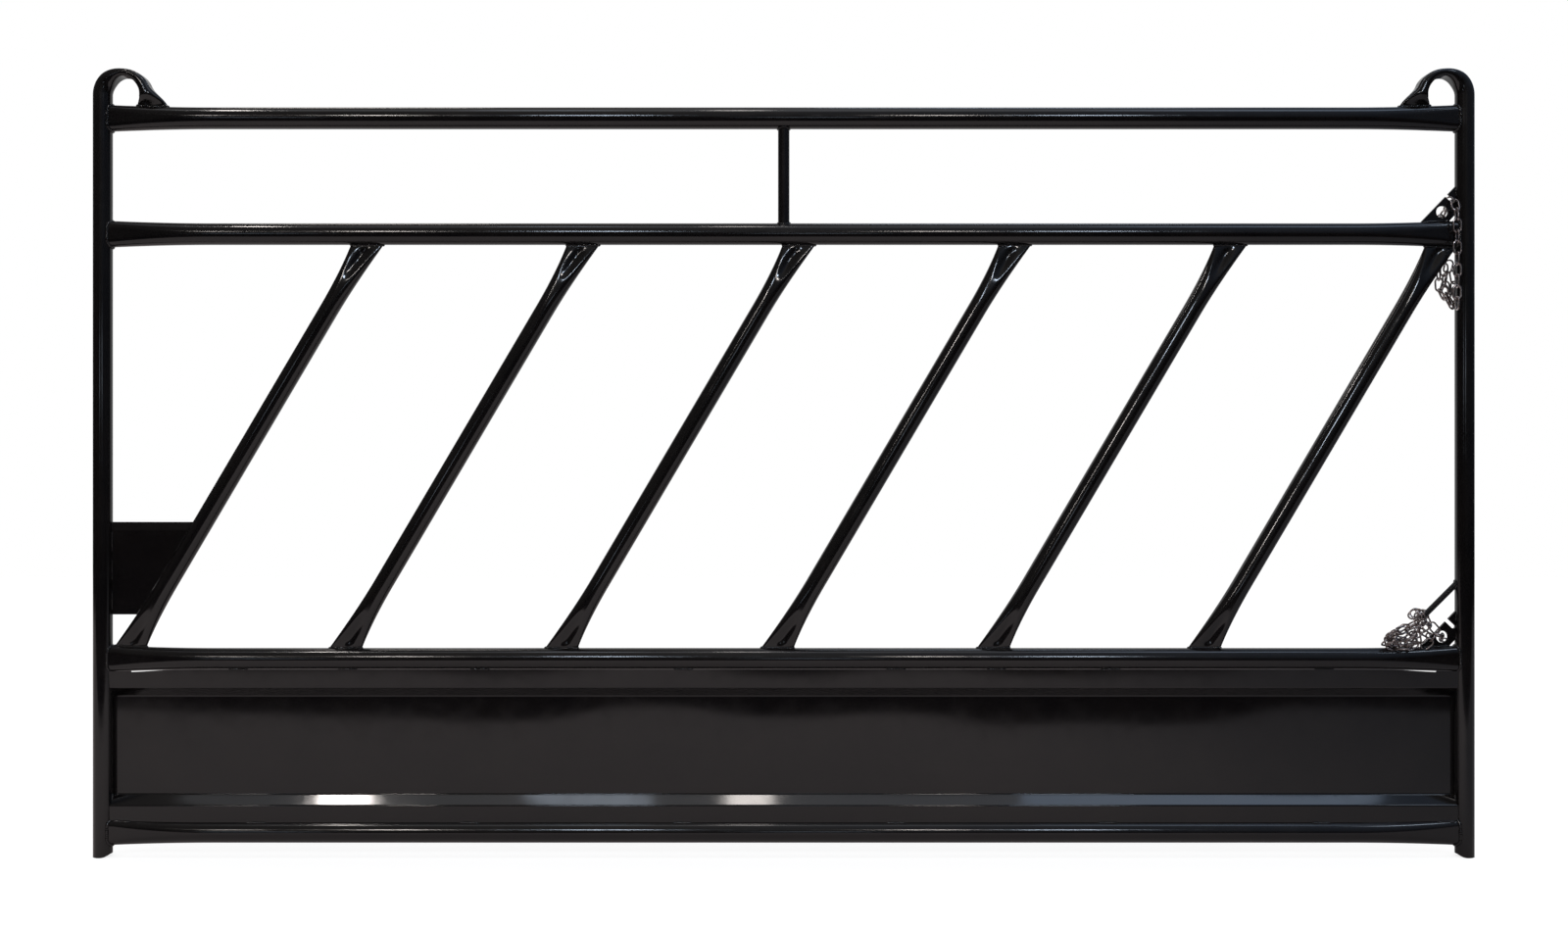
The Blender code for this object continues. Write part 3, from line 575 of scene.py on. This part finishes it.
def make_bar(number):
    """A slanted bar with both ends hammered flat and cut to the rails above and below."""
    low = bar_axis(number, MIDDLE_RAIL_Z + RAIL_RADIUS)
    high = bar_axis(number, NECK_RAIL_Z - RAIL_RADIUS)
    shares = [step / SHAPED_END_STEPS for step in range(SHAPED_END_STEPS + 1)]
    ends = [(BAR_FLARE_LENGTH * share, (1 - share) ** 2) for share in shares]
    stations = [station(low + BAR_DIRECTION * s, BAR_DIRECTION, bar_half(s), BAR_RADIUS, level, valley(s))
                for s, level in ends]
    ends.reverse()
    stations += [station(high - BAR_DIRECTION * s, BAR_DIRECTION, bar_half(s), BAR_RADIUS, level, valley(s))
                 for s, level in ends]
    return make_tube(f"slant_bar_{number + 1}", stations,
                     onto_rail(MIDDLE_RAIL_Z, 1), onto_rail(NECK_RAIL_Z, -1), clear_of_right_upright)


def make_centre_spacer():
    low = Vector((0, 0, NECK_RAIL_Z + RAIL_RADIUS))
    high = Vector((0, 0, TOP_RAIL_Z - RAIL_RADIUS))
    stations = [station(place, Z_AXIS, SPACER_RADIUS, SPACER_RADIUS) for place in (low, high)]
    return make_tube("centre_spacer", stations, onto_rail(NECK_RAIL_Z, 1), onto_rail(TOP_RAIL_Z, -1))


def rounded(corners, radius, steps=6):
    """A line through corners with each inner corner rounded."""
    points = [corners[0]]
    for before, corner, after in zip(corners, corners[1:], corners[2:]):
        corner = Vector(corner)
        way_in = (corner - Vector(before)).normalized()
        way_out = (Vector(after) - corner).normalized()
        turn = math.acos(max(-1, min(1, way_in.dot(way_out))))
        cut = radius * math.tan(turn / 2)
        for step in range(steps + 1):
            t = step / steps
            entering = corner - way_in * cut * (1 - t)
            leaving = corner + way_out * cut * t
            points.append(tuple(entering.lerp(leaving, t)))
    points.append(corners[-1])
    return points


def subdivided(points, longest_part=(3, 2, 9, 2, 3), bend_points=7):
    """The same line with its straight stretches, between the rounded bends, cut in parts."""
    made = [points[0]]
    for i, (a, b) in enumerate(zip(points, points[1:])):
        straight, within = divmod(i, bend_points)
        parts = longest_part[straight] if within == 0 else 1
        made += [tuple(p + (q - p) * k / parts for p, q in zip(a, b)) for k in range(1, parts + 1)]
    return made


def sheet_profile(x):
    """The pressed sheet's front from top to bottom and its back from bottom to top, as (y, z)."""
    sides = []
    back_y = SHEET_FRONT_Y + SHEET_THICKNESS
    back_shift = SHEET_THICKNESS * math.tan(math.atan2(SHEET_STEP_HEIGHT, SHEET_RECESS) / 2)
    reach = max(rail_surface(x, SHEET_FRONT_Y), rail_surface(x, back_y))
    for y, shift in ((SHEET_FRONT_Y, 0.0), (back_y, back_shift)):
        upper = MIDDLE_RAIL_Z - SHEET_UPPER_FLANGE_DEPTH + shift
        lower = BOTTOM_RAIL_Z + SHEET_LOWER_FLANGE_DEPTH - shift
        corners = [(y - UPPER_FLANGE_LEAN, MIDDLE_RAIL_Z - reach - seam(x)), (y, upper),
                   (y + SHEET_RECESS, upper - SHEET_STEP_HEIGHT),
                   (y + SHEET_RECESS, lower + SHEET_STEP_HEIGHT), (y, lower), (y, BOTTOM_RAIL_Z + reach)]
        sides.append(rounded(corners, SHEET_BEND_RADIUS))
    front, back = sides
    return front, back[::-1]


def seam(x):
    """How far the sheet's top edge stays below the middle rail: it opens past the weld at each end."""
    from_end = CLEAR_X - abs(x)
    if from_end < SEAM_OPENS_AT:
        return 0
    return SEAM_OPENING * (1 - ease(min((from_end - SEAM_OPENS_AT) / SEAM_LENGTH, 1)))


def make_kick_panel():
    """The pressed sheet with its rounded bends, cut to the uprights at its ends."""
    places = rail_places()
    middle = len(places) // 2
    opening = [side * (CLEAR_X - SEAM_OPENS_AT + out) for side in (-1, 1) for out in (SEAM_EDGE, -SEAM_EDGE)]
    places = sorted(places[:middle] + opening + places[middle:])
    rings = []
    for x in places:
        front, back = sheet_profile(x)
        outline = subdivided(front) + subdivided(back)
        rings.append([Vector((x, y, z)) for y, z in outline])
    rings[0] = [onto_upright(point, -X_AXIS) for point in rings[0]]
    rings[-1] = [onto_upright(point, X_AXIS) for point in rings[-1]]
    mesh = bmesh.new()
    rings = [add_ring(mesh, ring) for ring in rings]
    bridge(mesh, rings)
    for ring in (rings[0], rings[-1]):
        half = len(ring) // 2
        for i in range(half - 1):
            mesh.faces.new((ring[i], ring[i + 1], ring[-i - 2], ring[-i - 1]))
    sheet = stand_for(make_piece("kick_sheet", mesh, SHEET_PAINT, math.radians(50)), "kick_panel")
    flat = sheet.modifiers.new("flat_bands", "WEIGHTED_NORMAL")
    flat.keep_sharp = True
    flat.weight = 90


def along_path(points, spacing, closed):
    """Evenly spaced points along a path."""
    line = list(points) + ([points[0]] if closed else [])
    lengths = [0.0]
    for a, b in zip(line, line[1:]):
        lengths.append(lengths[-1] + (b - a).length)
    count = max(3, round(lengths[-1] / spacing))
    made = []
    segment = 0
    for i in range(count if closed else count + 1):
        target = lengths[-1] * i / count
        while segment < len(line) - 2 and lengths[segment + 1] < target:
            segment += 1
        span = lengths[segment + 1] - lengths[segment]
        made.append(line[segment].lerp(line[segment + 1], (target - lengths[segment]) / span if span else 0))
    return made


def add_bead(mesh, points, radius, closed):
    """Adds a rippled bead of weld along a path."""
    path = along_path(points, BEAD_STEP, closed)
    rings = []
    side_way = None
    for i, point in enumerate(path):
        before = path[i - 1] if i or closed else point
        after = path[(i + 1) % len(path)] if i + 1 < len(path) or closed else point
        tangent = (after - before).normalized()
        if side_way is None:
            side_way = tangent.orthogonal()
        side_way = (side_way - tangent * side_way.dot(tangent)).normalized()
        other = tangent.cross(side_way)
        ripple = BEAD_RIPPLE_HEIGHT * abs(math.sin(math.pi * i * BEAD_STEP / BEAD_RIPPLE))
        swelling = BEAD_SWELLING * noise.noise(point * BEAD_SWELLINGS_PER_METRE)
        size = radius * (BEAD_LOWEST + ripple + swelling)
        if not closed:
            from_tip = min(i, len(path) - 1 - i) * BEAD_STEP
            size *= min(1, BEAD_TIP + from_tip / radius * BEAD_TIP_GROWTH)
        centre = point + noise.noise_vector(point * BEAD_WANDERS_PER_METRE) * radius * BEAD_WANDER
        rings.append([centre + (side_way * math.cos(a) + other * math.sin(a)) * size
                      for a in (2 * math.pi * k / BEAD_SIDES for k in range(BEAD_SIDES))])
    rings = [add_ring(mesh, ring) for ring in rings]
    first, last = rings[0], rings[-1]
    bridge(mesh, rings)
    if closed:
        turned = min(range(BEAD_SIDES), key=lambda k: (last[0].co - first[k].co).length)
        bridge(mesh, [last, first[turned:] + first[:turned]])
    else:
        mesh.faces.new(first)
        mesh.faces.new(last)


def make_welds(name, paths, radius=BEAD_RADIUS, closed=True):
    """One piece that holds several beads of weld."""
    mesh = bmesh.new()
    for path in paths:
        add_bead(mesh, path, radius, closed)
    piece = make_piece(name, mesh, PAINT, math.radians(80))


def plate_corners(rail_z):
    """A latch plate's tip, toe, and the two ends of its clipped corner, in x and z."""
    x = CLEAR_X - WELD_GAP
    base = rail_z + WELD_GAP
    tip = (x, base + rail_half(x) + PLATE_LEG)
    toe = (x - PLATE_LEG, base + rail_half(x - PLATE_LEG))
    clip_side = (x, base + rail_half(x) + PLATE_CORNER_CLIP)
    clip_foot = (x - PLATE_CORNER_CLIP, base + rail_half(x - PLATE_CORNER_CLIP))
    return tip, toe, clip_side, clip_foot


def make_plate_welds():
    """Beads down each latch plate's upright edge and along its foot, front and back."""
    paths = []
    for rail_z in (NECK_RAIL_Z, MIDDLE_RAIL_Z):
        tip, toe, clip_side, clip_foot = plate_corners(rail_z)
        for side in (-1, 1):
            y = side * (PLATE_THICKNESS / 2 + BEAD_PROUD)
            edge_x = tip[0] + PLATE_BEAD_SUNK_X
            upper_end = tip[1] - PLATE_BEAD_FROM_TIP
            for high, low in ((upper_end, upper_end - PLATE_BEAD_UPPER_LENGTH),
                              (clip_side[1] + PLATE_BEAD_LOWER_LENGTH, clip_side[1])):
                paths.append([Vector((edge_x, y, high)), Vector((edge_x, y, low))])
            toe_end = Vector((toe[0] + PLATE_BEAD_FROM_TIP, y, toe[1] - PLATE_BEAD_SUNK_Z))
            paths.append([toe_end, Vector((clip_foot[0], y, clip_foot[1]))])
    make_welds("latch_plate_welds", paths, THIN_BEAD_RADIUS, closed=False)


def make_sheet_stitches():
    """Short beads that tack the sheet's two edges to the rails above and below it."""
    paths = []
    for rail_z, side, middles in ((BOTTOM_RAIL_Z, 1, LOWER_STITCHES), (MIDDLE_RAIL_Z, -1, UPPER_STITCHES)):
        for middle in middles:
            ends = (middle - STITCH_LENGTH / 2, middle + STITCH_LENGTH / 2)
            paths.append([Vector((x, SHEET_FRONT_Y - BEAD_PROUD,
                                  rail_z + side * rail_surface(x, SHEET_FRONT_Y))) for x in ends])
    make_welds("sheet_stitches", paths, FINE_BEAD_RADIUS, closed=False)


def make_guard_welds():
    """Short beads down both sides of the guard plate, at its upright and at the first bar."""
    paths = []
    for middle in GUARD_STITCHES:
        heights = (middle - STITCH_LENGTH / 2, middle + STITCH_LENGTH / 2)
        edges = [[], []]
        for z in heights:
            from_foot = (z - MIDDLE_RAIL_Z - RAIL_RADIUS) / math.cos(BAR_LEAN)
            edges[0].append(Vector((WELD_GAP - CLEAR_X, 0, z)))
            edges[1].append(Vector((bar_axis(0, z).x - bar_half(from_foot) / math.cos(BAR_LEAN), 0, z)))
        for front in (-1, 1):
            shift = Y_AXIS * front * (GUARD_THICKNESS / 2 + BEAD_PROUD)
            paths += [[point + shift for point in edge] for edge in edges]
    make_welds("guard_plate_welds", paths, GUARD_BEAD_RADIUS, closed=False)


def make_peg():
    """The peg with its sawn end and smooth side."""
    direction = Vector((math.sin(PEG_LEAN), 0, math.cos(PEG_LEAN)))
    root = Vector((CLEAR_X, 0, PEG_ROOT_Z))
    tip = root - direction * PEG_LENGTH
    across = direction.cross(Y_AXIS)
    rings = []
    for place, radius in ((tip, PEG_RADIUS - PEG_CHAMFER), (tip + direction * PEG_CHAMFER, PEG_RADIUS),
                          (root, PEG_RADIUS)):
        rings.append([place + (across * math.cos(a) + Y_AXIS * math.sin(a)) * radius
                      for a in (2 * math.pi * k / PEG_SIDES for k in range(PEG_SIDES))])
    foot = rings[-1] = [onto_upright(point, direction) for point in rings[-1]]
    mesh = bmesh.new()
    rings = [add_ring(mesh, ring) for ring in rings]
    bridge(mesh, rings)
    mesh.faces.new(rings[0])
    mesh.faces.new(rings[-1])
    stand_for(make_piece("peg", mesh, PAINT), "chain_peg")
    return foot


def make_link_mesh():
    """A smooth chain link with the swollen butt weld on one of its straight sides."""
    bend = (LINK_OUTER_WIDTH - LINK_WIRE) / 2
    half = (LINK_OUTER_LENGTH - LINK_WIRE) / 2 - bend
    path = []
    for end in (1, -1):
        for step in range(LINK_BEND_STEPS + 1):
            angle = math.pi * step / LINK_BEND_STEPS
            out = Vector((math.cos(angle), 0, math.sin(angle))) * end
            path.append((out * bend + Z_AXIS * half * end, out))
        for step in range(1, LINK_STRAIGHT_STEPS):
            height = half * (1 - 2 * step / LINK_STRAIGHT_STEPS)
            path.append((Vector((-bend, 0, height)) * end, -X_AXIS * end))
    mesh = bmesh.new()
    rings = []
    for centre, out in path:
        swollen = math.exp(-(centre.z / LINK_WELD_REACH) ** 2) if centre.x < 0 else 0
        radius = LINK_WIRE / 2 - LINK_WELD_SWELL * (1 - swollen)
        rings.append(add_ring(mesh, [centre + (out * math.cos(a) + Y_AXIS * math.sin(a)) * radius
                                     for a in (2 * math.pi * k / LINK_SIDES for k in range(LINK_SIDES))]))
    bridge(mesh, rings, closed=True)
    bmesh.ops.recalc_face_normals(mesh, faces=mesh.faces)
    data = bpy.data.meshes.new("smooth_link")
    mesh.to_mesh(data)
    mesh.free()
    data.shade_smooth()
    data.materials.append(ZINC)
    return data


def solid_axes(node):
    """Centre of a link's solid and the directions of its width and length."""
    points = {tuple(round(c, 6) for c in vertex.co) for vertex in frame["nodes"][node].data.vertices}
    points = [Vector(point) for point in points]
    centre = sum(points, Vector()) / len(points)
    spread = Matrix(((0,) * 3,) * 3)
    for point in points:
        arm = point - centre
        for i in range(3):
            for j in range(3):
                spread[i][j] += arm[i] * arm[j]
    length = steepest(spread)
    share = length.dot(spread @ length)
    rest = spread - Matrix([[share * length[i] * length[j] for j in range(3)] for i in range(3)])
    width = steepest(rest)
    width = (width - length * width.dot(length)).normalized()
    return centre, width, length


def steepest(spread):
    """The direction in which points spread most, found by applying the spread over and over."""
    way = Vector((0.37, 0.61, 0.70))
    for _ in range(200):
        way = (spread @ way).normalized()
    return way


def make_link(name, centre, width, length, body, node=None):
    """A smooth link in a solid's place, or a further one."""
    depth = length.cross(width).normalized()
    turn = Matrix((depth.cross(length), depth, length)).transposed().to_4x4()
    piece = bpy.data.objects.new(name, LINK_MESH)
    piece.matrix_world = Matrix.Translation(centre) @ turn
    bpy.context.collection.objects.link(piece)
    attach(piece, body)
    if node:
        stand_for(piece, node)
    return piece


def make_links():
    """A smooth link for each link's solid."""
    for body, empty in frame["bodies"].items():
        for solid in list(empty.children):
            node = solid.get("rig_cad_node")
            if node and "_link" in node:
                centre, width, length = solid_axes(node)
                make_link(node + "_smooth", centre, width, length, body, node)


def lay_chain(name, body, slot, roll, joints):
    """Further links between joints, each turned a quarter on from the last about its own length."""
    for number, (start, end) in enumerate(zip(joints, joints[1:])):
        start, end = Vector(start) / 1000, Vector(end) / 1000
        length = (end - start).normalized()
        across = length.cross(Y_AXIS).normalized()
        angle = math.radians(roll + 90 * (number % 2))
        width = across * math.cos(angle) + length.cross(across) * math.sin(angle)
        piece = make_link(f"{name}_{number + 1:02}", (start + end) / 2, width, length, body)


def paint_solid(node):
    """Gives the enamel to a solid that is shown as it is."""
    slot = frame["nodes"][node].material_slots[0]
    slot.link = "OBJECT"
    slot.material = PAINT


def make_stage_plane(name, corners, material):
    mesh = bpy.data.meshes.new(name)
    mesh.from_pydata(corners, [], [tuple(range(len(corners)))])
    mesh.materials.append(material)
    plane = bpy.data.objects.new(name, mesh)
    bpy.context.collection.objects.link(plane)
    return plane


def seen_by_camera(add, link, material, other, to_camera):
    """Gives a stage material one shader for the camera and another for every other ray."""
    seen = add("ShaderNodeLightPath").outputs["Is Camera Ray"]
    mixed = add("ShaderNodeMixShader", [(0, seen), (1, other), (2, to_camera)])
    output = next(node for node in material.node_tree.nodes if node.type == "OUTPUT_MATERIAL")
    link(mixed.outputs["Shader"], output.inputs["Surface"])


def make_floor_material():
    """Pale floor, darker far in front, that looks white to the camera where nothing shades it."""
    material, shader, add, link = new_material("pale_floor")
    place = add("ShaderNodeTexCoord").outputs["Object"]
    parts = add("ShaderNodeSeparateXYZ", [("Vector", place)])
    near = add("ShaderNodeMapRange", [("Value", parts.outputs["Y"])], interpolation_type="SMOOTHSTEP")
    near.inputs["From Min"].default_value = -FLOOR_DARK_FROM
    near.inputs["From Max"].default_value = -FLOOR_PALE_TO
    tint = ramp(add, near.outputs["Result"], [(0.0, FLOOR_DARK), (1.0, FLOOR_COLOUR)])
    right = add("ShaderNodeMapRange", [("Value", parts.outputs["X"])], interpolation_type="SMOOTHSTEP")
    right.inputs["From Min"].default_value = FLOOR_SHADE_FROM
    right.inputs["From Max"].default_value = FLOOR_SHADE_TO
    shade = ramp(add, right.outputs["Result"], [(0.0, 1.0), (1.0, FLOOR_RIGHT_SHADE)])
    floor_tint = add("ShaderNodeMixRGB", [("Color1", tint), ("Color2", shade)],
                     blend_type="MULTIPLY", Fac=1.0)
    link(floor_tint.outputs["Color"], shader.inputs["Base Color"])
    shader.inputs["Roughness"].default_value = 1.0
    shader.inputs["Specular IOR Level"].default_value = 0.0
    dim = add("ShaderNodeBsdfDiffuse")
    dim.inputs["Color"].default_value = (0.30, 0.30, 0.30, 1)
    glow = add("ShaderNodeEmission", Strength=0.78)
    bright = add("ShaderNodeAddShader", [(0, dim.outputs["BSDF"]), (1, glow.outputs["Emission"])])
    seen_by_camera(add, link, material, shader.outputs["BSDF"], bright.outputs["Shader"])
    return material


def make_backdrop_material():
    material, _, add, link = new_material("pale_backdrop")
    glow = add("ShaderNodeEmission", Strength=BACKDROP_GLOW)
    white = add("ShaderNodeEmission", Strength=1.0)
    seen_by_camera(add, link, material, glow.outputs["Emission"], white.outputs["Emission"])
    return material


def make_world():
    """White to the camera, plain soft light on the object, and a dim room in what shines."""
    world = bpy.data.worlds.new("studio")
    bpy.context.scene.world = world
    world.use_nodes = True
    world.cycles.sampling_method = "NONE"
    tree = world.node_tree
    tree.nodes.clear()

    def background(colour, strength):
        node = tree.nodes.new("ShaderNodeBackground")
        node.inputs["Color"].default_value = (*colour, 1)
        node.inputs["Strength"].default_value = strength
        return node.outputs["Background"]

    def choose(share, without, with_it):
        node = tree.nodes.new("ShaderNodeMixShader")
        for socket, source in enumerate((share, without, with_it)):
            tree.links.new(source, node.inputs[socket])
        return node.outputs["Shader"]

    def along(source, low, high, at_low, at_high):
        node = tree.nodes.new("ShaderNodeMapRange")
        tree.links.new(source, node.inputs["Value"])
        for key, value in (("From Min", low), ("From Max", high), ("To Min", at_low), ("To Max", at_high)):
            node.inputs[key].default_value = value
        return node.outputs["Result"]

    def times(first, second):
        node = tree.nodes.new("ShaderNodeMath")
        node.operation = "MULTIPLY"
        tree.links.new(first, node.inputs[0])
        tree.links.new(second, node.inputs[1])
        return node.outputs["Value"]

    path = tree.nodes.new("ShaderNodeLightPath").outputs
    way = tree.nodes.new("ShaderNodeTexCoord").outputs["Generated"]
    parts = tree.nodes.new("ShaderNodeSeparateXYZ")
    tree.links.new(way, parts.inputs["Vector"])
    plain = background((1, 1, 1), SOFT_LIGHT)
    room = tree.nodes.new("ShaderNodeBackground")
    glow = times(along(parts.outputs["Z"], -0.1, 1.0, 0.0, ROOM_GLOW),
                 along(parts.outputs["X"], -0.4, 0.0, 0.35, 1.0))
    tree.links.new(glow, room.inputs["Strength"])
    tint = tree.nodes.new("ShaderNodeValToRGB")
    tree.links.new(along(parts.outputs["X"], -0.1, 0.35, 0.0, 1.0), tint.inputs["Fac"])
    tint.color_ramp.elements[0].color = (1.0, 0.97, 0.95, 1)
    tint.color_ramp.elements[1].color = (0.55, 0.72, 1.0, 1)
    tree.links.new(tint.outputs["Color"], room.inputs["Color"])
    shown = choose(path["Is Glossy Ray"], plain, room.outputs["Background"])
    shown = choose(path["Is Camera Ray"], shown, background((1, 1, 1), 1.0))
    output = tree.nodes.new("ShaderNodeOutputWorld")
    tree.links.new(shown, output.inputs["Surface"])


def make_lamp(name, place, size_x, size_y, radiance, colour, target=None):
    """A flat oval lamp with a given brightness. It faces straight down, or towards a target."""
    lamp = bpy.data.lights.new(name, "AREA")
    lamp.shape = "ELLIPSE"
    lamp.size = size_x
    lamp.size_y = size_y
    lamp.energy = radiance * math.pi * size_x * size_y
    lamp.color = colour
    holder = bpy.data.objects.new(name, lamp)
    holder.location = place
    if target:
        holder.rotation_euler = (Vector(target) - Vector(place)).to_track_quat("-Z", "Y").to_euler()
    bpy.context.collection.objects.link(holder)


# Blender seeds its vector noise from the clock unless it is told otherwise
noise.seed_set(BEAD_WANDER_SEED)

rail_ends = []
for rail_name, rail_height in (("bottom_rail", BOTTOM_RAIL_Z), ("middle_rail", MIDDLE_RAIL_Z),
                               ("neck_rail", NECK_RAIL_Z), ("top_rail", TOP_RAIL_Z)):
    rail_ends += make_rail(rail_name, rail_height)
hoop_feet = [make_upright("left_upright", -1)[1], make_upright("right_upright", 1)[1]]
spacer_ends = make_centre_spacer()
bar_ends = []
for bar_number in range(BAR_COUNT):
    bar_ends += make_bar(bar_number)
make_kick_panel()
peg_foot = make_peg()
for plain_node in ("guard_plate", "upper_latch_plate", "lower_latch_plate"):
    paint_solid(plain_node)
make_welds("rail_welds", rail_ends)
make_welds("hoop_welds", hoop_feet)
make_welds("spacer_welds", spacer_ends, FINE_BEAD_RADIUS)
make_welds("bar_welds", bar_ends, THIN_BEAD_RADIUS)
make_welds("peg_weld", [peg_foot], FINE_BEAD_RADIUS)
make_plate_welds()
make_sheet_stitches()
make_guard_welds()
LINK_MESH = make_link_mesh()
make_links()
for strand in STRANDS:
    lay_chain(*strand)

make_stage_plane("floor", [(-8, -9, 0), (8, -9, 0), (8, 9, 0), (-8, 9, 0)], make_floor_material())
make_stage_plane("backdrop", [(-2.0, 1.6, 0.0), (2.0, 1.6, 0.0), (2.0, 1.6, 2.6), (-2.0, 1.6, 2.6)],
                 make_backdrop_material()).visible_camera = False
make_world()
for lamp in LAMPS:
    make_lamp(*lamp)

camera = bpy.data.cameras.new("camera")
camera.lens = CAMERA_LENS
camera.sensor_width = CAMERA_SENSOR
camera.sensor_fit = "HORIZONTAL"
viewer = bpy.data.objects.new("camera", camera)
viewer.location = CAMERA_PLACE
viewer.rotation_euler = (math.pi / 2, 0, 0)
bpy.context.collection.objects.link(viewer)
bpy.context.scene.camera = viewer
bpy.context.scene.view_settings.view_transform = "Standard"
